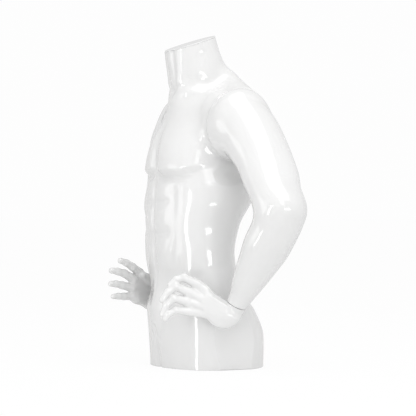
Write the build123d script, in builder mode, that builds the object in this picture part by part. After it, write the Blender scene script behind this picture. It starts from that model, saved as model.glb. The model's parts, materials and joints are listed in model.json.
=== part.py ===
from build123d import *
import math
import os

os.makedirs("parts", exist_ok=True)

# ---------------------------------------------------------------- driving dimensions (mm)
wall = 4.0            # laminate thickness of the hollow shells
seam_x = 142.0        # shoulder seam plane, distance from the middle plane
seam_gap = 0.4        # gap between mating faces of parts that move apart
base_t = 9.0          # base board thickness
front_notch_y, front_notch_r = -132.0, 16.0
back_notch_y, back_notch_r = 128.0, 27.0
neck_c = (0, -49, 818)    # centre of the neck's cut face
neck_tilt = 18.6      # forward tilt of the cut face, degrees
neck_r = 66.0
cap_t = 3.2           # neck cap thickness
pole_r = 12.6         # socket bore for a 25 mm stand pole
socket_len = 80.0     # pole socket length
sh_y, sh_z = 12.0, 604.0   # shoulder axis
sh_ry, sh_rz = 87.0, 88.0   # half sizes of the oval shoulder seam
hub_r = 24.0          # rotor radius
run = 0.05            # radial running clearance
peg = 22.0            # square arm peg
peg_fit = 0.10        # clearance each side of the square peg
pin_r = 10.0          # wrist spigot radius
screw_r = 2.0
screw_head_r = 4.0

flange_r = 46.0       # shoulder socket flange
flange_t = 2.5
cup_r = 28.0
ring_r = 26.5
ring_in_r = 17.0
flange_screw_r = 38.0
peg_screw_r = 26.0
socket_flange_r = 40.0
socket_flange_t = 3.0
socket_tube_r = 15.5
socket_screw_r = 29.0
bush_flange_r = 19.5  # wrist bush
bush_flange_t = 2.0
bush_r = 13.0
bush_len = 38.0
bush_screw_r = 16.3

elbows = {"left": (332, 52, 398), "right": (-334, 54, 408)}
wrists = {"left": (213, -28, 165), "right": (-212, -28, 187)}

# palm outline along (towards the fingers) and up, about the palm's middle, and its middle and direction
palm = [(-60, 8), (-48, 26), (-12, 36), (22, 55), (40, 52), (64, 40), (68, 0), (62, -26), (30, -37),
        (-8, -47), (-34, -45), (-58, -24)]
palm_t = 25.0
palms = {"left": ((190, -78, 160), (-0.418, -0.909, 0.02)), "right": ((-190, -76, 184), (0.40, -0.88, 0.22))}
# each digit is a chain of (point, radius)
hands = {
    "left": [
        [((200, -62, 172), 12), ((181, -92, 198), 10), ((162, -118, 206), 8)],
        [((174, -98, 202), 12), ((160, -142, 230), 9.5), ((152, -176, 213), 7.5)],
        [((168, -126, 190), 11.5), ((158, -163, 209), 9.5), ((151, -199, 174), 7.5)],
        [((167, -128, 169), 11.5), ((158, -171, 180), 9), ((151, -198, 139), 7.5)],
        [((168, -128, 146), 11), ((160, -172, 148), 8.5), ((154, -190, 130), 7)],
    ],
    "right": [
        [((-200, -60, 194), 12), ((-181, -86, 220), 10), ((-163, -110, 228), 8)],
        [((-176, -88, 226), 12), ((-161, -132, 248), 9.5), ((-152, -172, 262), 7.5)],
        [((-170, -112, 214), 11.5), ((-160, -156, 228), 9.5), ((-152, -196, 233), 7.5)],
        [((-169, -118, 194), 11.5), ((-160, -164, 200), 9), ((-152, -198, 205), 7.5)],
        [((-171, -120, 171), 11), ((-161, -160, 170), 8.5), ((-153, -191, 172), 7)],
    ],
}

# trunk sections: height, centre y, half width, half depth
trunk = [
    (0, -3, 170, 132), (14, -3, 170.5, 132), (79, -6, 176, 133), (140, -17, 172, 129),
    (190, -32, 160, 103), (232, -40, 152, 97), (262, -45, 145, 99), (293, -48, 142, 102),
    (354, -44, 146, 112), (415, -28, 158, 127), (470, -14, 166, 135), (515, -8, 158, 139),
    (540, -8, 147, 140), (565, -8, 141, 136), (590, -9, 138, 124), (614, -12, 128, 106),
    (640, -15, 104, 92),
]
# neck sections: centre, forward lean in degrees, half width, half depth
neck = [
    ((0, -18, 672), 2, 84, 82), ((0, -22, 704), 6, 76, 78), ((0, -26, 736), 10, 70, 77),
    ((0, -35, 769), 14, 67.5, 73),
]
# yoke sections across the shoulders: x, centre y, centre z, half depth, half height
yoke = [
    (-seam_x, sh_y, sh_z, sh_ry, sh_rz), (-100, 12, 612, 86, 98), (-52, 9, 618, 86, 107),
    (0, 4, 620, 86, 108),
    (52, 9, 618, 86, 107), (100, 12, 612, 86, 98), (seam_x, sh_y, sh_z, sh_ry, sh_rz),
]


def smooth(rows, at):
    """Row of values at the first column's value `at`, by monotone cubic interpolation."""
    xs = [r[0] for r in rows]
    i = max(0, min(len(xs) - 2, sum(1 for x in xs if x <= at) - 1))
    out = [at]
    for k in range(1, len(rows[0])):
        y = [r[k] for r in rows]
        slope = [(y[j + 1] - y[j]) / (xs[j + 1] - xs[j]) for j in range(len(xs) - 1)]
        m = [slope[0]]
        for j in range(1, len(slope)):
            a, b = slope[j - 1], slope[j]
            m.append(0 if a * b <= 0 else 2 * a * b / (a + b))
        m.append(slope[-1])
        h = xs[i + 1] - xs[i]
        t = (at - xs[i]) / h
        out.append(
            (2 * t**3 - 3 * t**2 + 1) * y[i] + (t**3 - 2 * t**2 + t) * h * m[i]
            + (-2 * t**3 + 3 * t**2) * y[i + 1] + (t**3 - t**2) * h * m[i + 1]
        )
    return out


def unit(v):
    n = math.sqrt(sum(c * c for c in v))
    return tuple(c / n for c in v)


def sub(a, b):
    return tuple(i - j for i, j in zip(a, b))


def along(p, d, s):
    return tuple(i + j * s for i, j in zip(p, d))


def across(c, n, want):
    """Plane at c with normal n whose x direction is as near to want as it can be."""
    n = unit(n)
    k = sum(i * j for i, j in zip(want, n))
    return Plane(origin=c, x_dir=unit(along(want, n, -k)), z_dir=n)


neck_n = (0, -math.sin(math.radians(neck_tilt)), math.cos(math.radians(neck_tilt)))
neck_top = Plane(origin=neck_c, x_dir=(1, 0, 0), z_dir=neck_n)
neck_cut = Plane(origin=along(neck_c, neck_n, -cap_t), x_dir=(1, 0, 0), z_dir=neck_n)
neck_in = Plane(origin=along(neck_c, neck_n, -cap_t - 6), x_dir=(1, 0, 0), z_dir=neck_n)

# even sections up the trunk, leaning over to the neck's cut face at the top
trunk_planes = []
for i in range(20):
    z, yc, a, b = smooth(trunk, i * 33.4)
    trunk_planes.append((Plane(origin=(0, yc, z), x_dir=(1, 0, 0), z_dir=(0, 0, 1)), a, b))
for c, lean, a, b in neck:
    t = math.radians(lean)
    trunk_planes.append((Plane(origin=c, x_dir=(1, 0, 0), z_dir=(0, -math.sin(t), math.cos(t))), a, b))

# ---------------------------------------------------------------- torso shell
with BuildPart() as torso_shell:
    for plane, a, b in trunk_planes:
        with BuildSketch(plane):
            Ellipse(a, b)
    with BuildSketch(neck_cut):
        Ellipse(neck_r, neck_r)
    loft()
    for x, yc, zc, ry, rz in yoke:
        with BuildSketch(Plane(origin=(x, yc, zc), x_dir=(0, 1, 0), z_dir=(1, 0, 0))):
            Ellipse(ry, rz)
    loft()
    for side in (1, -1):
        with BuildSketch(Plane(origin=(side * seam_x, sh_y, sh_z), x_dir=(0, 1, 0), z_dir=(side, 0, 0))):
            Ellipse(sh_ry + 6, sh_rz + 6)
            with Locations((0, 60)):
                Rectangle(2 * sh_ry + 12, 120)
        extrude(amount=100, mode=Mode.SUBTRACT)
    with BuildSketch(neck_cut):
        Circle(120)
    extrude(amount=60, mode=Mode.SUBTRACT)
    with BuildSketch(neck_cut):
        Circle(14.2)
    extrude(amount=-3.3, mode=Mode.SUBTRACT)
    # hollow inside
    for plane, a, b in trunk_planes:
        with BuildSketch(plane):
            Ellipse(a - wall, b - wall)
    with BuildSketch(neck_in):
        Ellipse(neck_r - wall, neck_r - wall)
    loft(mode=Mode.SUBTRACT)
    for x, yc, zc, ry, rz in yoke:
        if abs(x) == seam_x:
            x = math.copysign(seam_x - 10, x)
        with BuildSketch(Plane(origin=(x, yc, zc), x_dir=(0, 1, 0), z_dir=(1, 0, 0))):
            Ellipse(ry - wall, rz - wall)
    loft(mode=Mode.SUBTRACT)
    # shoulder bulkheads: recess for the socket flange, hole for its cup, four screw holes
    for side in (1, -1):
        face = Plane(origin=(side * seam_x, sh_y, sh_z), x_dir=(0, 1, 0), z_dir=(side, 0, 0))
        with BuildSketch(face):
            Circle(flange_r + 0.2)
        extrude(amount=-flange_t - 0.3, mode=Mode.SUBTRACT)
        with BuildSketch(face):
            Circle(cup_r + 0.2)
        extrude(amount=-14, mode=Mode.SUBTRACT)
        with BuildSketch(face):
            with PolarLocations(flange_screw_r, 4, start_angle=45):
                Circle(screw_r + 0.05)
        extrude(amount=-14, mode=Mode.SUBTRACT)
torso_shell.part.label = "torso_shell"
export_step(torso_shell.part, "parts/torso_shell.step")

# ---------------------------------------------------------------- neck cap
with BuildPart() as neck_cap:
    with BuildSketch(neck_cut):
        Circle(neck_r + 0.4)
    extrude(amount=cap_t)
    fillet(neck_cap.edges().group_by(SortBy.LENGTH)[-1], 1.0)
    with BuildSketch(neck_cut):
        Circle(14)
    extrude(amount=-3)
neck_cap.part.label = "neck_cap"

# ---------------------------------------------------------------- base board and pole socket
with BuildPart() as base_board:
    with BuildSketch(Plane(origin=(0, -3, 0))):
        Ellipse(170 - wall - 3.6, 132 - wall - 3.6)
    extrude(amount=base_t)
    # clearance for the groove at the front and the cleft behind
    with BuildSketch(Plane.XY):
        with Locations((0, front_notch_y)):
            Circle(front_notch_r)
        with Locations((0, back_notch_y)):
            Circle(back_notch_r)
    extrude(amount=base_t, mode=Mode.SUBTRACT)
    with BuildSketch(Plane.XY):
        Circle(socket_flange_r + 0.2)
    extrude(amount=socket_flange_t + 0.2, mode=Mode.SUBTRACT)
    with BuildSketch(Plane.XY):
        Circle(socket_tube_r + 0.1)
    extrude(amount=base_t, mode=Mode.SUBTRACT)
    with BuildSketch(Plane.XY):
        with PolarLocations(socket_screw_r, 4, start_angle=45):
            Circle(screw_r + 0.05)
    extrude(amount=base_t, mode=Mode.SUBTRACT)
base_board.part.label = "base_board"

with BuildPart() as pole_socket:
    with BuildSketch(Plane.XY):
        Circle(socket_flange_r)
    extrude(amount=socket_flange_t)
    with BuildSketch(Plane.XY):
        Circle(socket_tube_r)
    extrude(amount=socket_len + 3)
    with BuildSketch(Plane.XY):
        Circle(pole_r)
    extrude(amount=socket_len, mode=Mode.SUBTRACT)
    with BuildSketch(Plane.XY):
        with PolarLocations(socket_screw_r, 4, start_angle=45):
            Circle(screw_r + 0.25)
    extrude(amount=socket_flange_t, mode=Mode.SUBTRACT)
    with BuildSketch(Plane.XY):
        with PolarLocations(socket_screw_r, 4, start_angle=45):
            Circle(screw_head_r + 0.1)
    extrude(amount=1.5, mode=Mode.SUBTRACT)
pole_socket.part.label = "pole_socket"

with BuildPart() as pole_socket_screws:
    with BuildSketch(Plane.XY.offset(0.1)):
        with PolarLocations(socket_screw_r, 4, start_angle=45):
            Circle(screw_head_r)
    extrude(amount=1.4)
    with BuildSketch(Plane.XY.offset(0.1)):
        with PolarLocations(socket_screw_r, 4, start_angle=45):
            Circle(screw_r)
    extrude(amount=base_t + 5)
pole_socket_screws.part.label = "pole_socket_screws"

pieces = [neck_cap, base_board, pole_socket, pole_socket_screws]

# ---------------------------------------------------------------- arms, one side at a time
for name, side in (("left", 1), ("right", -1)):
    elbow = elbows[name]
    wrist = wrists[name]
    out = (side, 0, 0)
    up_dir = unit(sub(elbow, (side * 165, sh_y, 612)))
    fore = unit(sub(wrist, elbow))
    face = Plane(origin=(side * seam_x, sh_y, sh_z), x_dir=(0, 1, 0), z_dir=out)
    arm_face = Plane(origin=(side * (seam_x + seam_gap), sh_y, sh_z), x_dir=(0, 1, 0), z_dir=out)

    # socket: flange let into the bulkhead, closed cup behind it
    with BuildPart() as shoulder_socket:
        with BuildSketch(face.offset(-flange_t - 0.3)):
            Circle(flange_r)
        extrude(amount=flange_t)
        with BuildSketch(face.offset(-0.3)):
            Circle(cup_r)
        extrude(amount=-48)
        with BuildSketch(face.offset(-0.3)):
            Circle(ring_r)
        extrude(amount=-flange_t, mode=Mode.SUBTRACT)
        with BuildSketch(face.offset(-0.3)):
            Circle(hub_r + run)
        extrude(amount=-45, mode=Mode.SUBTRACT)
        with BuildSketch(face):
            with PolarLocations(flange_screw_r, 4, start_angle=45):
                Circle(screw_r + 0.2)
        extrude(amount=-8, mode=Mode.SUBTRACT)
        with BuildSketch(face):
            with PolarLocations(flange_screw_r, 4, start_angle=45):
                Circle(screw_head_r + 0.1)
        extrude(amount=-1.8, mode=Mode.SUBTRACT)
    shoulder_socket.part.label = name + "_shoulder_socket"

    with BuildPart() as shoulder_socket_screws:
        with BuildSketch(face.offset(-0.4)):
            with PolarLocations(flange_screw_r, 4, start_angle=45):
                Circle(screw_head_r)
        extrude(amount=-1.4)
        with BuildSketch(face.offset(-0.4)):
            with PolarLocations(flange_screw_r, 4, start_angle=45):
                Circle(screw_r)
        extrude(amount=-14)
    shoulder_socket_screws.part.label = name + "_shoulder_socket_screws"

    # ring that keeps the rotor in its cup
    with BuildPart() as retaining_ring:
        with BuildSketch(face.offset(-0.3)):
            Circle(ring_r - 0.05)
            Circle(ring_in_r, mode=Mode.SUBTRACT)
        extrude(amount=-flange_t + 0.1)
    retaining_ring.part.label = name + "_retaining_ring"

    # rotor: turns in the cup and takes the arm's square peg
    with BuildPart() as rotor:
        with BuildSketch(face.offset(-0.3 - flange_t - 0.5)):
            Circle(hub_r)
        extrude(amount=-40)
        with BuildSketch(face.offset(-0.3 - flange_t - 0.5)):
            Rectangle(peg + 2 * peg_fit, peg + 2 * peg_fit)
        extrude(amount=-36, mode=Mode.SUBTRACT)
    rotor.part.label = name + "_rotor"

    # hollow arm shell from the seam to the wrist
    cuts = [
        ((side * (seam_x + seam_gap), sh_y, sh_z), (side, 0, 0), sh_ry, sh_rz),
        ((side * 172, 18, 599), (side * 0.95, 0.03, -0.30), 80, 85),
        ((side * 207, 24, 575), (side * 0.82, 0.10, -0.56), 78, 75),
        ((side * 243, 27, 534), (side * 0.68, 0.18, -0.71), 71, 63),
        (along(elbow, up_dir, -90), up_dir, 63, 55),
        (along(elbow, up_dir, -42), up_dir, 57, 50),
        (along(elbow, up_dir, 2), up_dir, 52, 46),
    ]
    reach = math.dist(elbow, wrist)
    low = [
        (along(elbow, fore, -4), fore, 52, 46),
        (along(elbow, fore, 0.165 * reach), fore, 57, 49),
        (along(elbow, fore, 0.366 * reach), fore, 56, 47),
        (along(elbow, fore, 0.586 * reach), fore, 48, 41),
    ]
    low_out = low + [(along(elbow, fore, 0.81 * reach), fore, 37, 32), (wrist, fore, 26.5, 23.5)]
    low_in = low + [(along(wrist, fore, -46), fore, 35, 30.5)]
    with BuildPart() as arm_shell:
        for grow, mode, lower in ((0, Mode.ADD, low_out), (-wall, Mode.SUBTRACT, low_in)):
            for c, n, ry, rv in cuts:
                if grow and c == cuts[0][0]:
                    c = along(c, out, -1)
                with BuildSketch(across(c, n, (0, 1, 0))):
                    Ellipse(ry + grow, rv + grow)
            loft(mode=mode)
            with Locations(Location(elbow)):
                Sphere(47 if grow == 0 else 44.6, mode=mode)
            for c, n, ry, rv in lower:
                with BuildSketch(across(c, n, (0, 1, 0))):
                    Ellipse(ry + grow, rv + grow)
            loft(mode=mode)
        wf = across(wrist, fore, (0, 1, 0))
        with BuildSketch(wf):
            Circle(bush_flange_r + 0.2)
        extrude(amount=-bush_flange_t - 0.1, mode=Mode.SUBTRACT)
        with BuildSketch(wf):
            Circle(bush_r + 0.1)
        extrude(amount=-bush_len - 0.3, mode=Mode.SUBTRACT)
        with BuildSketch(wf):
            with PolarLocations(bush_screw_r, 2):
                Circle(1.55)
        extrude(amount=-12, mode=Mode.SUBTRACT)
    arm_shell.part.label = name + "_arm_shell"

    # board that closes the arm at the seam and carries the peg
    with BuildPart() as arm_board:
        with BuildSketch(arm_face.offset(0.1)):
            Ellipse(sh_ry - wall - 13.0, sh_rz - wall - 11.0)
        extrude(amount=8)
        with BuildSketch(arm_face):
            Rectangle(peg + 0.4, peg + 0.4)
        extrude(amount=9, mode=Mode.SUBTRACT)
        with BuildSketch(arm_face):
            with PolarLocations(peg_screw_r, 4, start_angle=45):
                Circle(screw_r + 0.05)
        extrude(amount=9, mode=Mode.SUBTRACT)
        with BuildSketch(arm_face):
            with PolarLocations(peg_screw_r, 4, start_angle=45):
                Circle(screw_head_r + 0.1)
        extrude(amount=2.1, mode=Mode.SUBTRACT)
    arm_board.part.label = name + "_arm_board"

    with BuildPart() as arm_peg:
        with BuildSketch(arm_face.offset(8.2)):
            Circle(34)
        extrude(amount=3)
        with BuildSketch(arm_face.offset(8.2)):
            Rectangle(peg, peg)
        extrude(amount=-8.2 - seam_gap - 34)
        chamfer(arm_peg.faces().sort_by(Axis.X)[0 if side > 0 else -1].edges(), 1.5)
        with BuildSketch(arm_face.offset(8.2)):
            with PolarLocations(peg_screw_r, 4, start_angle=45):
                Circle(screw_r + 0.05)
        extrude(amount=3, mode=Mode.SUBTRACT)
    arm_peg.part.label = name + "_arm_peg"

    with BuildPart() as arm_peg_screws:
        with BuildSketch(arm_face.offset(0.5)):
            with PolarLocations(peg_screw_r, 4, start_angle=45):
                Circle(screw_head_r)
        extrude(amount=1.4)
        with BuildSketch(arm_face.offset(0.5)):
            with PolarLocations(peg_screw_r, 4, start_angle=45):
                Circle(screw_r)
        extrude(amount=13)
    arm_peg_screws.part.label = name + "_arm_peg_screws"

    # wrist: bush in the forearm, spigot in the hand
    with BuildPart() as wrist_bush:
        with BuildSketch(wf.offset(-0.1)):
            Circle(bush_flange_r)
        extrude(amount=-bush_flange_t + 0.1)
        with BuildSketch(wf.offset(-0.1)):
            Circle(bush_r)
        extrude(amount=-bush_len + 0.1)
        with BuildSketch(wf):
            Circle(pin_r + run)
        extrude(amount=-bush_len + 3, mode=Mode.SUBTRACT)
        with BuildSketch(wf):
            with PolarLocations(bush_screw_r, 2):
                Circle(1.7)
        extrude(amount=-4, mode=Mode.SUBTRACT)
    wrist_bush.part.label = name + "_wrist_bush"

    with BuildPart() as wrist_bush_screws:
        with BuildSketch(wf.offset(-0.3)):
            with PolarLocations(bush_screw_r, 2):
                Circle(1.5)
        extrude(amount=-11)
    wrist_bush_screws.part.label = name + "_wrist_bush_screws"

    hf = wf.offset(seam_gap)
    with BuildPart() as hand_spigot:
        with BuildSketch(hf.offset(3.4)):
            Circle(pin_r)
        extrude(amount=-3.4 - seam_gap - 33)
        chamfer(hand_spigot.edges().sort_by(Axis(wrist, fore))[0], 1.2)
        with BuildSketch(hf.offset(0.2)):
            Circle(19)
        extrude(amount=3.2)
        with BuildSketch(hf.offset(3.4)):
            Circle(7)
        extrude(amount=22)
    hand_spigot.part.label = name + "_hand_spigot"

    with BuildPart() as hand:
        with BuildSketch(hf):
            Ellipse(26.5, 23.5)
        extrude(amount=26)
        mid, way = palms[name]
        way = unit(way)
        with BuildSketch(Plane(origin=mid, x_dir=way, z_dir=unit((way[1], -way[0], 0)))):
            with BuildLine():
                Polyline(*palm, close=True)
            make_face()
        extrude(amount=palm_t / 2, both=True)
        for chain in hands[name]:
            for (p, rp), (q, rq) in zip(chain, chain[1:]):
                with BuildSketch(Plane(origin=p, z_dir=unit(sub(q, p)))):
                    Circle(rp)
                with BuildSketch(Plane(origin=q, z_dir=unit(sub(q, p)))):
                    Circle(rq)
                loft()
            for p, r in chain:
                with Locations(Location(p)):
                    Sphere(r + 0.35)
        with BuildSketch(hf):
            Circle(70)
        extrude(amount=-60, mode=Mode.SUBTRACT)
        with BuildSketch(hf):
            Circle(19.1)
        extrude(amount=3.5, mode=Mode.SUBTRACT)
        with BuildSketch(hf):
            Circle(7.1)
        extrude(amount=26, mode=Mode.SUBTRACT)
    hand.part.label = name + "_hand"

    for piece in (shoulder_socket, shoulder_socket_screws, retaining_ring, rotor, arm_shell,
                  arm_board, arm_peg, arm_peg_screws, wrist_bush, wrist_bush_screws,
                  hand_spigot, hand):
        export_step(piece.part, "parts/" + piece.part.label + ".step")

for piece in pieces:
    export_step(piece.part, "parts/" + piece.part.label + ".step")
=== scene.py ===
import json
import math
import bmesh
import bpy
import numpy as np
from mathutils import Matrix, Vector


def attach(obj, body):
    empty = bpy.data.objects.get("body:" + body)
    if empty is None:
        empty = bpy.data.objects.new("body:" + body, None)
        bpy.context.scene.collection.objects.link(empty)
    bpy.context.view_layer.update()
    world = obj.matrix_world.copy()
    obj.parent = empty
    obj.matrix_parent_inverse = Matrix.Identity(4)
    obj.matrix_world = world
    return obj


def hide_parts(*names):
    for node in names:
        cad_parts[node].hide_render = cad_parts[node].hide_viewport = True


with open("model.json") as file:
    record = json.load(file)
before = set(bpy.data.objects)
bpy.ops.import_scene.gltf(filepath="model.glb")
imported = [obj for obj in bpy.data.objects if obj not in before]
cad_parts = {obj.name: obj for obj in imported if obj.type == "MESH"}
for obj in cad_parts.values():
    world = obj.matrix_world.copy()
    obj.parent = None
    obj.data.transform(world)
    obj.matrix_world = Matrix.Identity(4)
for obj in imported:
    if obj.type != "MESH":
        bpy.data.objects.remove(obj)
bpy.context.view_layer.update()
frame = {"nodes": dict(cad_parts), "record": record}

MM = 0.001

# ------------------------------------------------------------------ field building blocks (millimetres)


def unit(v):
    v = np.asarray(v, float)
    return v / np.linalg.norm(v)


def smin(a, b, k):
    h = np.clip(0.5 + 0.5 * (b - a) / k, 0, 1)
    return b + (a - b) * h - k * h * (1 - h)


def smax(a, b, k):
    return -smin(-a, -b, k)


def ramp(x, lo, hi):
    t = np.clip((x - lo) / (hi - lo), 0, 1)
    return t * t * (3 - 2 * t)


def curve(rows, at):
    """Monotone cubic through rows (t, value...) sampled at an array of t; one array per column."""
    rows = np.asarray(rows, float)
    xs = rows[:, 0]
    out = []
    i = np.clip(np.searchsorted(xs, at, side="right") - 1, 0, len(xs) - 2)
    h = np.diff(xs)
    t = np.clip((at - xs[i]) / h[i], 0, 1)
    for c in range(1, rows.shape[1]):
        y = rows[:, c]
        s = np.diff(y) / h
        m = np.empty_like(y)
        m[0], m[-1] = s[0], s[-1]
        a, b = s[:-1], s[1:]
        m[1:-1] = np.where(a * b > 0, 2 * a * b / np.where(a + b == 0, 1, a + b), 0)
        hh = h[i]
        out.append((2 * t**3 - 3 * t**2 + 1) * y[i] + (t**3 - 2 * t**2 + t) * hh * m[i]
                   + (-2 * t**3 + 3 * t**2) * y[i + 1] + (t**3 - t**2) * hh * m[i + 1])
    return out


def radial(dx, dy, a, b, n=2.0):
    """Signed distance, nearly, to an upright oval of half sizes a, b and corner power n."""
    r = np.sqrt(dx * dx + dy * dy) + 1e-6
    q = (np.abs(dx / a) ** n + np.abs(dy / b) ** n) ** (1.0 / n) + 1e-6
    return r * (1 - 1 / q)


def ball(p, c, r, turn=None):
    """Ellipsoid; turn is a 3x3 matrix whose columns are the ellipsoid's axes."""
    d = p - np.asarray(c, float)
    if turn is not None:
        d = d @ turn
    r = np.asarray(r, float)
    k0 = np.sqrt(((d / r) ** 2).sum(1)) + 1e-6
    k1 = np.sqrt(((d / r**2) ** 2).sum(1)) + 1e-9
    return k0 * (k0 - 1) / k1


def rod(p, a, b, ra, rb):
    """Round cone from a to b."""
    a, b = np.asarray(a, float), np.asarray(b, float)
    ab = b - a
    t = np.clip((p - a) @ ab / (ab @ ab), 0, 1)
    return np.sqrt(((p - a - t[:, None] * ab) ** 2).sum(1)) - (ra + (rb - ra) * t)


def away(p, pts):
    """Distance to a polyline and place along it, 0 to 1."""
    pts = np.asarray(pts, float)
    best = np.full(len(p), 1e9)
    where = np.zeros(len(p))
    n = len(pts) - 1
    for i in range(n):
        ab = pts[i + 1] - pts[i]
        t = np.clip((p - pts[i]) @ ab / (ab @ ab), 0, 1)
        d = ((p - pts[i] - t[:, None] * ab) ** 2).sum(1)
        m = d < best
        best = np.where(m, d, best)
        where = np.where(m, (i + t) / n, where)
    return np.sqrt(best), where


def crease(p, pts, wide, deep, fade=0.15):
    """Height to add along a polyline: positive deep is a groove, negative a ridge. It fades at both ends."""
    d, w = away(p, pts)
    ends = ramp(w, 0, fade) * ramp(1 - w, 0, fade) if fade else 1.0
    return deep * np.exp(-(d / wide) ** 2) * ends


def lump(p, c, s, high, turn=None):
    d = p - np.asarray(c, float)
    if turn is not None:
        d = d @ turn
    return high * np.exp(-((d / np.asarray(s, float)) ** 2).sum(1))


def axes(d, want=(0, 1, 0)):
    d = unit(d)
    e1 = np.asarray(want, float)
    e1 = unit(e1 - (e1 @ d) * d)
    return np.stack([d, e1, np.cross(d, e1)], 1)


# ------------------------------------------------------------------ measures shared with the frame
SEAM = 142.0
GAP = 0.4
SH = np.array([142.0, 12.0, 604.0])
ELBOW = {1: np.array([332.0, 52.0, 398.0]), -1: np.array([-334.0, 54.0, 408.0])}
WRIST = {1: np.array([213.0, -28.0, 165.0]), -1: np.array([-212.0, -28.0, 187.0])}
TILT = math.radians(18.6)
NECK_N = np.array([0, -math.sin(TILT), math.cos(TILT)])
NECK_CUT = np.array([0, -49.0, 818.0]) - 3.2 * NECK_N

TRUNK = [  # height, centre y, half width, half depth in front, half depth behind, power
    (-60, -3, 170, 132, 130, 2.25), (0, -3, 170, 132, 130, 2.25), (79, -6, 175, 133, 130, 2.2),
    (140, -17, 171, 127, 120, 2.15), (190, -32, 159, 103, 102, 2.1), (232, -40, 151, 97, 97, 2.1),
    (262, -45, 144, 99, 99, 2.1), (293, -48, 141, 100, 101, 2.1), (354, -44, 145, 109, 111, 2.1),
    (415, -28, 155, 123, 127, 2.15), (455, -16, 156, 131, 133, 2.2), (480, -12, 148, 131, 137, 2.2),
    (500, -9, 140, 131, 140, 2.2), (520, -8, 135, 131, 140, 2.15), (550, -8, 132, 130, 138, 2.1),
    (590, -9, 128, 120, 120, 2.0), (614, -12, 116, 104, 104, 2.0), (645, -15, 92, 90, 90, 2.0),
    (680, -18, 72, 84, 82, 2.0), (706, -22, 68, 77, 80, 2.0), (736, -26, 67.5, 76, 78, 2.0),
    (769, -34, 66.5, 74, 75, 2.0), (800, -43, 66, 70, 70, 2.0), (860, -63, 66, 69.6, 69.6, 2.0),
]
YOKE = {  # distance from the middle, centre y, centre z, half depth, half height
    1: [(0, 6, 612, 84, 90), (52, 9, 612, 86, 96), (100, 12, 609, 87, 94), (SEAM, 12, 604, 87, 88), (260, 12, 604, 87, 88)],
    -1: [(0, 6, 612, 84, 90), (52, 10, 612, 84, 95), (100, 14, 608, 82, 90), (SEAM, 17, 604, 79, 82), (260, 17, 604, 79, 82)],
}
PLATE = [  # distance from the middle, height of the chest plate's lower edge
    (0, 498), (15, 490), (45, 484), (80, 484), (110, 489), (130, 500), (145, 525), (180, 560),
]


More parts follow.
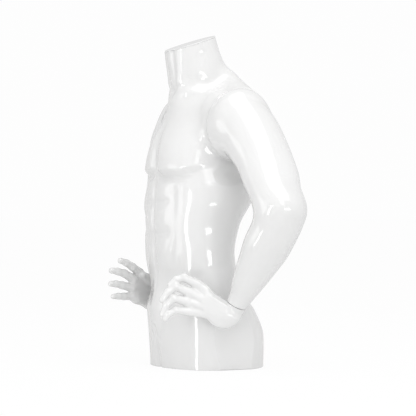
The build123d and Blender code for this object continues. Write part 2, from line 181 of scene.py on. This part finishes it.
def torso(p):
    x, y, z = np.abs(p[:, 0]), p[:, 1], p[:, 2]
    m = np.stack([x, y, z], 1)
    yc, a, bf, bb, n = curve(TRUNK, z)
    dy = y - yc
    trunk = radial(x, dy, a, np.where(dy < 0, bf, bb), n)
    # shoulders
    near, far = curve(YOKE[1], x), curve(YOKE[-1], x)
    sy, sz, ry, rz = [np.where(p[:, 0] > 0, u, v) for u, v in zip(near, far)]
    yoke = radial(y - sy, z - sz, ry, rz)
    f = smin(trunk, yoke, 24)
    f = smin(f, rod(m, (34, 38, 712), (118, 48, 660), 37, 36), 30)       # trapezius
    g = np.zeros(len(p))
    # chest plates: a firm lower edge, fading upward and outward
    edge = curve(PLATE, x)[0]
    rise = z - edge
    plate = ramp(rise, -7, 15) * (1 - ramp(rise, 20, 150)) * ramp(-(y - yc), 20, 90) * (1 - ramp(x, 116, 146))
    plate = plate * (0.35 + 0.65 * ramp(x, 2, 30))
    g = g - 12.5 * plate
    g = g - lump(m, (70, -128, 512), (44, 50, 26), 2.5)
    g = g + 4.5 * np.exp(-((rise + 9) / 9) ** 2) * ramp(-(y - yc), 20, 80) * ramp(x, 4, 30) * (1 - ramp(x, 92, 130))
    g = g + crease(m, [(0, -150, 486), (0, -146, 540), (0, -134, 600), (0, -112, 668)], 10, 4.0, 0.12)
    # collar bones and neck
    g = g + crease(m, [(16, -92, 690), (58, -78, 694), (100, -46, 703), (140, -4, 701)], 12, -3.2, 0.25)
    g = g + lump(m, (0, -100, 694), (15, 22, 14), 7)
    g = g + lump(m, (66, -60, 716), (30, 34, 20), 4)
    g = g + crease(m, [(26, -94, 700), (38, -94, 750), (46, -96, 800), (48, -100, 830)], 15, -3.5, 0.12)
    g = g + crease(m, [(13, -100, 688), (17, -102, 740), (20, -108, 800), (20, -114, 840)], 7, 3.5, 0.08)
    g = g + crease(m, [(30, -84, 712), (50, -58, 760), (62, -38, 800)], 11, 2.5, 0.2)
    # abdomen
    g = g + crease(m, [(0, -148, 478), (0, -150, 420), (0, -152, 340), (0, -146, 262), (0, -152, 190)], 6.5, 6, 0.06)
    for zz, dd in ((411, 3.2), (331, 3.2)):
        g = g + crease(m, [(0, -152, zz - 2), (34, -148, zz + 3), (70, -132, zz + 10)], 13, dd, 0.25)
    g = g + crease(m, [(72, -134, 470), (76, -128, 410), (72, -122, 330), (54, -124, 250)], 18, 4.5, 0.15)
    for zz in (444, 371, 296):
        g = g - lump(m, (36, -148, zz), (28, 44, 28), 1.6)
    # ribs and side muscles
    for yy, zz in ((-80, 446), (-66, 410)):
        g = g + crease(m, [(104, yy - 16, zz + 10), (142, yy + 34, zz - 16)], 10, 2.6, 0.35)
    g = g - lump(m, (134, -50, 292), (34, 52, 36), 6)
    g = g + crease(m, [(142, -70, 250), (108, -114, 208), (64, -142, 168), (34, -150, 130)], 15, 5.5, 0.18)
    # lower front
    g = g - lump(m, (0, -140, 178), (32, 40, 52), 12)
    g = g - lump(m, (0, -140, 96), (40, 40, 44), 9)
    g = g + crease(m, [(0, -156, 112), (0, -146, 50), (0, -136, 0), (0, -134, -40)], 8, 12, 0.08)
    g = g + crease(m, [(42, -146, 150), (28, -150, 96), (8, -148, 64)], 11, 4, 0.2)
    g = g + crease(m, [(104, -112, 150), (100, -116, 80), (98, -116, 0), (98, -116, -50)], 24, 3, 0.1)
    # back
    g = g + crease(m, [(0, 92, 650), (0, 120, 560), (0, 112, 440), (0, 66, 330), (0, 58, 250)], 15, 9, 0.12)
    g = g - lump(m, (78, 98, 590), (46, 40, 54), 6)
    g = g - lump(m, (112, 78, 470), (50, 44, 60), 5)
    g = g - lump(m, (34, 66, 300), (22, 30, 70), 3)
    g = g - lump(m, (80, 104, 84), (62, 44, 62), 4)
    g = g + crease(m, [(0, 96, 210), (0, 124, 150), (0, 140, 90), (0, 136, 0), (0, 132, -50)], 11, 24, 0.12)
    f = f + g
    # at the seam the shoulder is exactly the arm's own oval, and the trunk stops short of it
    stop = 137.5 + 26 * (1 - ramp(z, 430, 499))
    plain = np.minimum(np.maximum(trunk + g, x - stop), yoke)
    w = ramp(x, 124, 139)
    return f * (1 - w) + plain * w


UPPER = [  # along, offset forward-back, offset outward, half depth, half width
    (-60, 0, -8, 76, 72), (0, -3, -3, 77, 75), (56, -1, 4, 76, 69), (110, -1, 8, 72, 61), (184, -5, 2, 68, 55),
    (232, -12, 0, 66, 50), (274, -15, 0, 58, 47), (300, -17, 0, 50, 46),
]
LOWER = [  # share of the length, offset forward-back, half depth, half width
    (-0.2, -13, 50, 45), (0, -12, 55, 47), (0.165, -8, 61, 50), (0.366, -5, 61, 48), (0.586, -3, 51, 42),
    (0.81, -1.5, 38, 32), (0.93, 0, 29, 25.5), (1.0, 0, 26.5, 23.5), (1.3, 0, 26.5, 23.5),
]
OVAL = {1: (12, 87, 88), -1: (17, 79, 82)}


def arm(p, side):
    m = p * np.array([side, 1, 1])
    e = ELBOW[side] * np.array([side, 1, 1])
    w = WRIST[side] * np.array([side, 1, 1])
    s = np.array([165.0, 12, 612])
    A = axes(e - s)
    L = np.linalg.norm(e - s)
    q = (m - s) @ A
    t = q[:, 0]
    c1, c2, ry, rv = curve(UPPER, t)
    if side < 0:
        c1 = c1 + 11 * ramp(t, 110, 230)
    over = np.clip(t - L, 0, None)
    # outward is the side away from the body
    up = radial(q[:, 1] - c1, -q[:, 2] - c2 if A[0, 2] < 0 else q[:, 2] - c2, ry, rv, 2.1)
    up = np.sqrt(np.clip(up + 40, 0, None) ** 2 + (over * 1.0) ** 2) - 40
    B = axes(w - e)
    R = np.linalg.norm(w - e)
    r = (m - e) @ B
    v = r[:, 0] / R
    fc, fy, fv = curve(LOWER, v)
    if side < 0:
        fc = fc + 11 * (1 - ramp(v, 0.25, 0.7))
    low = radial(r[:, 1] - fc, r[:, 2], fy, fv, 2.1)
    before = np.clip(-r[:, 0], 0, None)
    low = np.sqrt(np.clip(low + 40, 0, None) ** 2 + before**2) - 40
    # muscles
    up = up - lump(q, (60, 14, 40 if A[0, 2] > 0 else -40), (62, 52, 44), 3.5)
    up = up + crease(q, [(40, 66, -20), (110, 60, -30), (150, 30, -52)], 11, 3, 0.2)
    up = up - lump(q, (178, 52, 0), (52, 30, 46), 5)
    up = up - lump(q, (190, -58, 0), (50, 30, 42), 6)
    up = up + lump(q, (245, 48, 10), (30, 26, 40), 3.0)
    low = low - lump(r, (62, 0, 46), (52, 46, 30), 2.5)
    low = low - lump(r, (R - 20, 24, 6), (16, 12, 16), 1.6)
    f = smin(up, low, 34)
    f = f - lump(m, e + np.array([14, 38, -16]), (20, 20, 20), 2.0)
    f = f + lump(m, e + np.array([30, 34, 10]), (38, 38, 46), 6)
    if side < 0:
        f = f + lump(m, (192, -62, 652), (54, 42, 46), 19)
    # the shoulder end is the same oval as the torso's seam
    oy, ory, orz = OVAL[side]
    oval = radial(m[:, 1] - oy, m[:, 2] - 604, ory, orz)
    k = np.maximum(ramp(m[:, 0], 146, 214), ramp(480 - m[:, 2], 0, 45))
    return oval * (1 - k) + f * k


HANDS = {
    1: {
        "bones": [  # carpus, knuckle, middle joint, end joint, tip
            [(207, -52, 163), (171, -111, 213), (160, -144, 231), (155, -163, 226), (151.5, -177, 214)],
            [(206, -54, 157), (166, -134, 195), (158, -165, 210), (153, -185, 196), (151, -199, 177)],
            [(205, -57, 149), (165, -138, 172), (158, -171, 181), (153, -188, 165), (151, -198, 142)],
            [(203, -58, 139), (168, -130, 148), (160, -166, 152), (156, -184, 143), (154, -192, 130)],
        ],
        "thumb": [(204, -46, 160), (190, -66, 176), (172, -92, 196), (156, -112, 205)],
        "heel": ((203, -60, 131), (17, 36, 24)),
    },
    -1: {
        "bones": [
            [(207, -52, 186), (172, -110, 231), (161, -135, 247), (156, -155, 258), (152, -173, 264)],
            [(206, -54, 180), (167, -130, 215), (160, -158, 230), (156, -179, 236), (152, -198, 239)],
            [(205, -57, 172), (165, -135, 193), (160, -165, 200), (156, -184, 204), (152, -200, 205)],
            [(203, -58, 162), (167, -133, 171), (161, -160, 171), (157, -177, 172), (153, -193, 172)],
        ],
        "thumb": [(204, -46, 184), (190, -62, 200), (173, -86, 216), (157, -106, 226)],
        "heel": ((203, -60, 154), (17, 34, 23)),
    },
}
RAD = [(15, 11.8, 9.8, 8.7, 7.6), (15.5, 12.0, 10.0, 8.9, 7.8), (15, 11.6, 9.6, 8.5, 7.5), (14, 10.8, 8.8, 7.9, 6.9)]


def hand(p, side):
    m = p * np.array([side, 1, 1])
    e = ELBOW[side] * np.array([side, 1, 1])
    w = WRIST[side] * np.array([side, 1, 1])
    B = axes(w - e)
    r = (m - w) @ B
    stub = radial(r[:, 1], r[:, 2], 26.5, 23.5, 2.1)
    stub = smax(stub, r[:, 0] - 26, 10)
    H = HANDS[side]
    palm = None
    for k, bone in enumerate(H["bones"]):
        a, b = np.array(bone[0], float), np.array(bone[1], float)
        g = rod(m, a, b, RAD[k][0], RAD[k][1])
        palm = g if palm is None else smin(palm, g, 12)
    c, rr = H["heel"]
    T = axes(np.array(H["bones"][3][1]) - np.array(H["bones"][3][0]), (0, 0, 1))
    palm = smin(palm, ball(m, c, (rr[1], rr[2], rr[0]), T), 12)
    th = H["thumb"]
    for a, b, ra, rb in zip(th, th[1:], (15, 12.5, 10), (12.5, 10, 7.6)):
        palm = smin(palm, rod(m, a, b, ra, rb), 9)
    # nothing but the round stub comes up to the wrist seam
    near = 1 - ramp(np.hypot(r[:, 1], r[:, 2]), 37, 82)
    palm = palm + 2.4 * near * np.clip(6.0 - r[:, 0], 0, 40)
    if side < 0:
        palm = smin(palm, rod(m, (200, -64, 152), (169, -120, 161), 15, 11), 14)
    f = smin(stub, palm, 3 + 19 * ramp(r[:, 0], 4, 26))
    for k, bone in enumerate(H["bones"]):
        g = None
        for i in range(1, 4):
            q = rod(m, bone[i], bone[i + 1], RAD[k][i], RAD[k][i + 1])
            g = q if g is None else smin(g, q, 4)
        # joints stand out a little
        for i, up in ((1, 1.4), (2, 1.0), (3, 0.4)):
            g = g - lump(m, np.array(bone[i]) + np.array([5, -2, 3]), (9, 9, 9), up)
        f = smin(f, g, 3.5)
    # valleys between the knuckles on the back of the hand
    for k in range(3):
        a = (np.array(H["bones"][k][1]) + np.array(H["bones"][k + 1][1])) / 2 + np.array([9, -4, 0])
        b = (np.array(H["bones"][k][0]) + 2 * np.array(H["bones"][k + 1][1])) / 3 + np.array([12, 6, 0])
        f = f + crease(m, [a, b], 5.5, 1.6, 0.3)
    return f


# ------------------------------------------------------------------ surface from a field


def nets(F, lo, h):
    """Naive surface nets on a grid of values: vertices and quads."""
    S = F < 0
    C = [S[i:S.shape[0] - 1 + i, j:S.shape[1] - 1 + j, k:S.shape[2] - 1 + k]
         for i in (0, 1) for j in (0, 1) for k in (0, 1)]
    any_, all_ = np.logical_or.reduce(C), np.logical_and.reduce(C)
    mix = any_ & ~all_
    idx = np.full(mix.shape, -1, np.int64)
    cell = np.argwhere(mix)
    idx[mix] = np.arange(len(cell))
    tot = np.zeros((len(cell), 3))
    cnt = np.zeros(len(cell))
    corners = [(i, j, k) for i in (0, 1) for j in (0, 1) for k in (0, 1)]
    val = {c: F[cell[:, 0] + c[0], cell[:, 1] + c[1], cell[:, 2] + c[2]] for c in corners}
    for c in corners:
        for ax in range(3):
            if c[ax]:
                continue
            d = list(c)
            d[ax] = 1
            a, b = val[c], val[tuple(d)]
            m = (a < 0) != (b < 0)
            t = np.where(m, a / np.where(m, a - b, 1), 0)
            pt = np.array(c, float)[None, :].repeat(len(cell), 0)
            pt[:, ax] += t
            tot += pt * m[:, None]
            cnt += m
    verts = (cell + tot / np.maximum(cnt, 1)[:, None]) * h + lo
    quads = []
    for ax in range(3):
        a = [slice(None)] * 3
        b = [slice(None)] * 3
        a[ax], b[ax] = slice(0, -1), slice(1, None)
        e = np.argwhere(S[tuple(a)] != S[tuple(b)])
        u, v = [i for i in range(3) if i != ax]
        e = e[(e[:, u] > 0) & (e[:, v] > 0) & (e[:, u] < mix.shape[u]) & (e[:, v] < mix.shape[v])]
        ins = S[e[:, 0], e[:, 1], e[:, 2]]
        q = []
        for du, dv in ((1, 1), (0, 1), (0, 0), (1, 0)):
            g = e.copy()
            g[:, u] -= du
            g[:, v] -= dv
            q.append(idx[g[:, 0], g[:, 1], g[:, 2]])
        q = np.stack(q, 1)
        flip = ins if ax == 1 else ~ins
        q[flip] = q[flip][:, ::-1]
        quads.append(q)
    return verts, np.concatenate(quads)


def surface(field, lo, hi, h):
    lo, hi = np.asarray(lo, float), np.asarray(hi, float)
    n = np.ceil((hi - lo) / h / 4).astype(int) * 4 + 1
    g = [lo[i] + h * np.arange(n[i]) for i in range(3)]
    cg = [a[::4] for a in g]
    P = np.stack(np.meshgrid(*cg, indexing="ij"), -1).reshape(-1, 3)
    V = field(P).reshape([len(a) for a in cg])
    F = np.kron(np.where(V < 0, -1.0, 1.0), np.ones((4, 4, 4)))[:n[0], :n[1], :n[2]] * 99
    near = np.abs(V) < 4 * h * 2.4
    B = np.zeros([len(a) - 1 for a in cg], bool)
    for i in (0, 1):
        for j in (0, 1):
            for k in (0, 1):
                B |= near[i:near.shape[0] - 1 + i, j:near.shape[1] - 1 + j, k:near.shape[2] - 1 + k]
    M = np.zeros(F.shape, bool)
    for b in np.argwhere(B) * 4:
        M[b[0]:b[0] + 5, b[1]:b[1] + 5, b[2]:b[2] + 5] = True
    I = np.argwhere(M)
    pts = lo + I * h
    out = np.concatenate([field(pts[i:i + 200000]) for i in range(0, len(pts), 200000)])
    F[M] = out
    v, q = nets(F, lo, h)
    v = relax(v, q, 2)
    for _ in range(3):
        v = settle(v, field)
    return v, q


def relax(v, q, times):
    e = np.concatenate([q[:, [0, 1]], q[:, [1, 2]], q[:, [2, 3]], q[:, [3, 0]]])
    for _ in range(times):
        s = np.zeros_like(v)
        c = np.zeros(len(v))
        for a, b in ((0, 1), (1, 0)):
            np.add.at(s, e[:, a], v[e[:, b]])
            np.add.at(c, e[:, a], 1)
        v = 0.4 * v + 0.6 * s / np.maximum(c, 1)[:, None]
    return v


def settle(v, field):
    d = 0.5
    f = field(v)
    g = np.stack([field(v + np.eye(3)[i] * d) - field(v - np.eye(3)[i] * d) for i in range(3)], 1) / (2 * d)
    step = f / np.maximum((g * g).sum(1), 0.05)
    return v - np.clip(step, -4, 4)[:, None] * g


# ------------------------------------------------------------------ cutting and closing


def cut(bm, point, normal, keep=None):
    """Cuts everything beyond the plane away and returns the rim's loops of vertices."""
    geom = bm.verts[:] + bm.edges[:] + bm.faces[:]
    o, n = Vector(point), Vector(normal)
    res = bmesh.ops.bisect_plane(bm, geom=geom, plane_co=o, plane_no=n, dist=1e-4)
    bm.faces.ensure_lookup_table()
    gone = [f for f in bm.faces if (f.calc_center_median() - o).dot(n) > 0.0005 and (keep is None or not keep(f.calc_center_median()))]
    bmesh.ops.delete(bm, geom=gone, context="FACES")
    flat = [v for v in bm.verts if abs((v.co - o).dot(n)) < 0.02 and any(len(e.link_faces) == 1 for e in v.link_edges)]
    bmesh.ops.remove_doubles(bm, verts=flat, dist=0.15)
    rim = [e for e in bm.edges if len(e.link_faces) == 1 and all(abs((v.co - o).dot(n)) < 0.02 for v in e.verts)]
    return rim


def order(rim):
    """Walks a rim's edges into one closed loop of vertices, the longest found; it may pass a pinched vertex twice."""
    at = {}
    for e in rim:
        for v in e.verts:
            at.setdefault(v, []).append(e)
    used, best = set(), []
    for first in rim:
        if first in used:
            continue
        used.add(first)
        start, cur = first.verts
        loop, prev = [start], first
        while cur is not start:
            loop.append(cur)
            free = [e for e in at[cur] if e not in used]
            if not free:
                break
            came = (cur.co - prev.other_vert(cur).co).normalized()
            prev = max(free, key=lambda e: came.dot((e.other_vert(cur).co - cur.co).normalized()))
            used.add(prev)
            cur = prev.other_vert(cur)
        if len(loop) > len(best):
            best = loop
    return best


def close(bm, rim, point, normal, inner, depth, lip=1.2):
    """Rounds the rim over, brings the face in to an inner outline, then turns it inwards by depth."""
    o, n = np.array(point, float), unit(normal)
    ref = axes(n, (0, 1, 0))
    loop = order(rim)
    pts = np.array([v.co for v in loop])
    mid = pts.mean(0)
    rings = [loop]

    def ring(co):
        vs = [bm.verts.new(c) for c in co]
        a = rings[-1]
        for i in range(len(a)):
            j = (i + 1) % len(a)
            bm.faces.new((a[i], a[j], vs[j], vs[i]))
        rings.append(vs)

    rad = pts - mid
    length = np.linalg.norm(rad, axis=1)[:, None]
    away_ = rad / length
    base = pts.copy()
    for v, c in zip(loop, base - n * lip):
        v.co = Vector(c)
    for k in (0.35, 0.7, 1.0):
        a = k * math.pi / 2
        ring(base - n * lip * (1 - math.sin(a)) - away_ * lip * (1 - math.cos(a)))
    q = (pts - o) @ ref
    ang = np.arctan2(q[:, 2], q[:, 1])
    tgt = np.stack([np.zeros(len(ang)), *inner(ang)], 1) @ ref.T + o - n * 0.3
    edge = base - away_ * lip
    for k in (0.5, 1.0):
        ring(edge * (1 - k) + tgt * k)
    ring(tgt - n * depth)
    return rings


def circle(r):
    return lambda a: (r * np.cos(a), r * np.sin(a))


def oval(ra, rb):
    return lambda a: (ra * rb / np.sqrt((rb * np.cos(a)) ** 2 + (ra * np.sin(a)) ** 2) * np.cos(a),
                      ra * rb / np.sqrt((rb * np.cos(a)) ** 2 + (ra * np.sin(a)) ** 2) * np.sin(a))


def board_edge(a):
    """Edge of the board in the base, with its two notches, seen from (0, -3)."""
    r = 124.6 * 162.6 / np.sqrt((162.6 * np.cos(a)) ** 2 + (124.6 * np.sin(a)) ** 2)
    for c, rn in ((-129, 15.7), (131, 26.7)):
        along = c * np.cos(a)
        d = along**2 - c * c + rn * rn
        r = np.where((d > 0) & (along > 0), np.minimum(r, along - np.sqrt(np.maximum(d, 0))), r)
    return r * np.cos(a), r * np.sin(a)


def sculpt(name, field, lo, hi, h, cuts):
    v, q = surface(field, lo, hi, h)
    me = bpy.data.meshes.new(name)
    me.from_pydata(v.tolist(), [], q.tolist())
    bm = bmesh.new()
    bm.from_mesh(me)
    bmesh.ops.recalc_face_normals(bm, faces=bm.faces[:])
    for point, normal, inner, depth, keep, lip in cuts:
        rim = cut(bm, point, normal, keep)
        close(bm, rim, point, normal, inner, depth, lip)
    bmesh.ops.holes_fill(bm, edges=[e for e in bm.edges if len(e.link_faces) == 1], sides=6)
    bmesh.ops.recalc_face_normals(bm, faces=bm.faces[:])
    loose = [x for x in bm.verts if not x.link_faces]
    bmesh.ops.delete(bm, geom=loose, context="VERTS")
    bmesh.ops.scale(bm, vec=(MM, MM, MM), verts=bm.verts[:])
    for f in bm.faces:
        f.smooth = True
    for e in bm.edges:
        if len(e.link_faces) == 2 and e.calc_face_angle(0) > math.radians(50):
            e.smooth = False
    bm.to_mesh(me)
    bm.free()
    ob = bpy.data.objects.new(name, me)
    bpy.context.scene.collection.objects.link(ob)
    return ob


# ------------------------------------------------------------------ materials


def new_mat(name):
    m = bpy.data.materials.new(name)
    m.use_nodes = True
    nt = m.node_tree
    return m, nt, nt.nodes["Principled BSDF"]


def noise(nt, scale, detail=2.0, rough=0.5):
    tc = nt.nodes.new("ShaderNodeTexCoord")
    n = nt.nodes.new("ShaderNodeTexNoise")
    n.inputs["Scale"].default_value = scale
    n.inputs["Detail"].default_value = detail
    n.inputs["Roughness"].default_value = rough
    nt.links.new(tc.outputs["Object"], n.inputs["Vector"])
    return n


def spread(nt, src, lo, hi):
    r = nt.nodes.new("ShaderNodeMapRange")
    r.inputs["To Min"].default_value = lo
    r.inputs["To Max"].default_value = hi
    nt.links.new(src, r.inputs["Value"])
    return r.outputs["Result"]


def tint(nt, src, a, b):
    r = nt.nodes.new("ShaderNodeValToRGB")
    r.color_ramp.elements[0].position, r.color_ramp.elements[0].color = 0.35, (*a, 1)
    r.color_ramp.elements[1].position, r.color_ramp.elements[1].color = 0.65, (*b, 1)
    nt.links.new(src, r.inputs["Fac"])
    return r.outputs["Color"]


def bump(nt, bsdf, src, strength, distance):
    b = nt.nodes.new("ShaderNodeBump")
    b.inputs["Strength"].default_value = strength
    b.inputs["Distance"].default_value = distance
    nt.links.new(src, b.inputs["Height"])
    nt.links.new(b.outputs["Normal"], bsdf.inputs["Normal"])
    return b


def gloss_white():
    m, nt, p = new_mat("gloss_white")
    nt.links.new(tint(nt, noise(nt, 5, 3).outputs["Fac"], (0.735, 0.735, 0.732), (0.765, 0.765, 0.763)), p.inputs["Base Color"])
    nt.links.new(spread(nt, noise(nt, 9, 4).outputs["Fac"], 0.11, 0.17), p.inputs["Roughness"])
    p.inputs["IOR"].default_value = 1.5
    p.inputs["Coat Weight"].default_value = 0.8
    p.inputs["Coat Roughness"].default_value = 0.03
    b = bump(nt, p, noise(nt, 60, 1.5).outputs["Fac"], 0.03, 0.0003)
    nt.links.new(b.outputs["Normal"], p.inputs["Coat Normal"])
    return m


def metal(name, a, b, rough, scale):
    m, nt, p = new_mat(name)
    n = noise(nt, scale, 6, 0.7)
    nt.links.new(tint(nt, n.outputs["Fac"], a, b), p.inputs["Base Color"])
    nt.links.new(spread(nt, n.outputs["Fac"], rough - 0.08, rough + 0.12), p.inputs["Roughness"])
    p.inputs["Metallic"].default_value = 1.0
    bump(nt, p, noise(nt, scale * 8, 2).outputs["Fac"], 0.15, 0.0002)
    return m


def nylon():
    m, nt, p = new_mat("black_nylon")
    n = noise(nt, 180, 4)
    nt.links.new(tint(nt, n.outputs["Fac"], (0.018, 0.018, 0.020), (0.035, 0.035, 0.038)), p.inputs["Base Color"])
    nt.links.new(spread(nt, n.outputs["Fac"], 0.42, 0.60), p.inputs["Roughness"])
    bump(nt, p, n.outputs["Fac"], 0.25, 0.0002)
    return m


def plywood():
    m, nt, p = new_mat("birch_ply")
    tc = nt.nodes.new("ShaderNodeTexCoord")
    mp = nt.nodes.new("ShaderNodeMapping")
    mp.inputs["Scale"].default_value = (6, 60, 60)
    nt.links.new(tc.outputs["Object"], mp.inputs["Vector"])
    n = nt.nodes.new("ShaderNodeTexNoise")
    n.inputs["Scale"].default_value = 2.0
    n.inputs["Detail"].default_value = 6.0
    nt.links.new(mp.outputs["Vector"], n.inputs["Vector"])
    nt.links.new(tint(nt, n.outputs["Fac"], (0.50, 0.33, 0.18), (0.66, 0.47, 0.28)), p.inputs["Base Color"])
    nt.links.new(spread(nt, n.outputs["Fac"], 0.45, 0.65), p.inputs["Roughness"])
    bump(nt, p, n.outputs["Fac"], 0.2, 0.0003)
    return m


WHITE = gloss_white()
STEEL = metal("zinc_steel", (0.50, 0.51, 0.52), (0.62, 0.63, 0.64), 0.34, 90)
SCREW = metal("bright_zinc", (0.60, 0.61, 0.63), (0.74, 0.75, 0.77), 0.24, 160)
BRASS = metal("turned_brass", (0.60, 0.42, 0.16), (0.74, 0.55, 0.25), 0.28, 120)
NYLON = nylon()
PLY = plywood()
by_slot = {"shell": WHITE, "cap": WHITE, "board": PLY, "steel": STEEL, "screw": SCREW, "nylon": NYLON, "brass": BRASS}
slot_of = {s["node"]: s["material_slot"] for s in frame["record"]["subparts"]}
for node, ob in frame["nodes"].items():
    for slot in ob.material_slots:
        slot.material = by_slot[slot_of[node]]

# ------------------------------------------------------------------ the painted shells
fine = 1.0
torso_ob = sculpt(
    "torso_skin", torso, (-190, -186, -22), (190, 166, 862), 3.1 * fine,
    [((0, -3, 0), (0, 0, -1), board_edge, 12, None, 1.5),
     (NECK_CUT, NECK_N, circle(15), 3, None, 0.8),
     ((SEAM, 12, 604), (1, 0, 0), circle(46.4), 6, lambda c: c.z < 508, 1.8),
     ((-SEAM, 12, 604), (-1, 0, 0), circle(46.4), 6, lambda c: c.z < 508, 1.8)])
torso_ob.data.materials.append(WHITE)
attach(torso_ob, "torso")
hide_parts("torso_shell")

for name, s in (("left", 1), ("right", -1)):
    fore = unit(WRIST[s] - ELBOW[s])
    lo = np.minimum(np.minimum(ELBOW[s], WRIST[s]), (s * 120, -90, 400)) - 75
    hi = np.maximum(np.maximum(ELBOW[s], WRIST[s]), (s * 120, 120, 700)) + 75
    lo[2] = WRIST[s][2] - 30
    hi[2] = 712
    if s > 0:
        lo[0] = 118
    else:
        hi[0] = -118
    a = sculpt(name + "_arm_skin", lambda p, s=s: arm(p, s), lo, hi, 2.7 * fine,
               [((s * (SEAM + 0.9), 12, 604), (-s, 0, 0), oval(70.3, 73.3), 9, None, 1.6),
                (WRIST[s], fore, circle(19.8), 2.5, None, 1.1)])
    a.data.materials.append(WHITE)
    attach(a, name + "_arm")
    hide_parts(name + "_arm_shell")
    lo = np.minimum(WRIST[s], (s * 140, -212, 100)) - 30
    hi = np.maximum(WRIST[s], (s * 140, 0, 250)) + 36
    g = sculpt(name + "_hand_skin", lambda p, s=s: hand(p, s), lo, hi, 1.6 * fine,
               [(WRIST[s] + 1.1 * fore, -fore, circle(19.2), 3, lambda c, s=s, d=fore: np.linalg.norm(np.cross(np.array(c) - WRIST[s], d)) > 36, 1.1)])
    g.data.materials.append(WHITE)
    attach(g, name + "_hand")
    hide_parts(name + "_hand")

# ------------------------------------------------------------------ stage, lights, camera


def ground():
    """Round pale table top, wide enough that its edge is never seen."""
    n = 128
    vs, fs = [(0, 0, -0.0005)], []
    radii = (0.5, 1.0, 2.0, 5.0, 14.0, 60.0)
    for r in radii:
        for k in range(n):
            a = 2 * math.pi * k / n
            vs.append((r * math.cos(a), r * math.sin(a), -0.0005))
    for k in range(n):
        fs.append((0, 1 + k, 1 + (k + 1) % n))
    for i in range(len(radii) - 1):
        for k in range(n):
            a, b = 1 + i * n + k, 1 + i * n + (k + 1) % n
            fs.append((a, a + n, b + n, b))
    me = bpy.data.meshes.new("studio_floor")
    me.from_pydata(vs, [], fs)
    ob = bpy.data.objects.new("studio_floor", me)
    bpy.context.scene.collection.objects.link(ob)
    m, nt, p = new_mat("floor_paper")
    nt.links.new(tint(nt, noise(nt, 3, 3).outputs["Fac"], (0.90, 0.90, 0.90), (0.92, 0.92, 0.92)), p.inputs["Base Color"])
    p.inputs["Roughness"].default_value = 0.9
    glow = nt.nodes.new("ShaderNodeEmission")
    glow.inputs["Strength"].default_value = 1.0
    path = nt.nodes.new("ShaderNodeLightPath")
    part = nt.nodes.new("ShaderNodeMath")
    part.operation = "MULTIPLY"
    part.inputs[1].default_value = 0.94
    mix = nt.nodes.new("ShaderNodeMixShader")
    nt.links.new(path.outputs["Is Camera Ray"], part.inputs[0])
    nt.links.new(part.outputs[0], mix.inputs["Fac"])
    nt.links.new(p.outputs["BSDF"], mix.inputs[1])
    nt.links.new(glow.outputs["Emission"], mix.inputs[2])
    nt.links.new(mix.outputs["Shader"], nt.nodes["Material Output"].inputs["Surface"])
    me.materials.append(m)
    ob.visible_glossy = False
    return ob


ground()


def lamp(name, loc, aim, size, power):
    d = bpy.data.lights.new(name, "AREA")
    d.shape = "RECTANGLE"
    d.size, d.size_y = size
    d.energy = power
    ob = bpy.data.objects.new(name, d)
    ob.location = loc
    ob.rotation_euler = (Vector(aim) - Vector(loc)).to_track_quat("-Z", "Z").to_euler()
    bpy.context.scene.collection.objects.link(ob)
    return ob


AZ = math.radians(63)
toward = Vector((math.sin(AZ), -math.cos(AZ), 0))
right = Vector((math.cos(AZ), math.sin(AZ), 0))
mid = Vector((0, 0, 0.4))


def place(u, w, z):
    return right * u + toward * w + Vector((0, 0, z))


lamp("left_softbox", place(-2.25, 2.5, 0.15), (0, 0, 0.15), (0.42, 1.8), 16)
lamp("right_softbox", place(1.75, 3.0, 0.15), (0, 0, 0.15), (0.26, 1.8), 11)
lamp("top_softbox", place(0.5, 1.1, 2.7), (0, 0, 0.4), (2.6, 2.0), 27)
lamp("left_fill", place(-3.0, 1.0, 0.6), (-0.1, -0.1, 0.3), (1.4, 1.4), 7)
lamp("front_softbox", place(0.7, 4.2, 2.4), (0, 0, 0.4), (2.4, 1.2), 14)

world = bpy.data.worlds.new("studio")
bpy.context.scene.world = world
world.use_nodes = True
bg = world.node_tree.nodes["Background"]
bg.inputs["Color"].default_value = (1, 1, 1, 1)
bg.inputs["Strength"].default_value = 0.76
seen = world.node_tree.nodes.new("ShaderNodeBackground")
seen.inputs["Color"].default_value = (1, 1, 1, 1)
seen.inputs["Strength"].default_value = 0.985
path = world.node_tree.nodes.new("ShaderNodeLightPath")
both = world.node_tree.nodes.new("ShaderNodeMixShader")
wl = world.node_tree.links
wl.new(path.outputs["Is Camera Ray"], both.inputs["Fac"])
wl.new(bg.outputs["Background"], both.inputs[1])
wl.new(seen.outputs["Background"], both.inputs[2])
wl.new(both.outputs["Shader"], world.node_tree.nodes["World Output"].inputs["Surface"])

cam = bpy.data.cameras.new("camera")
cam.sensor_width = 36
cam.lens = 36 / (416 * 0.00255 / 4.6)
cam_ob = bpy.data.objects.new("camera", cam)
pos = mid + toward * 4.6 + right * 0.0025
cam_ob.location = pos
cam_ob.rotation_euler = (-toward).to_track_quat("-Z", "Y").to_euler()
bpy.context.scene.collection.objects.link(cam_ob)
bpy.context.scene.camera = cam_ob
bpy.context.scene.view_settings.view_transform = "Standard"
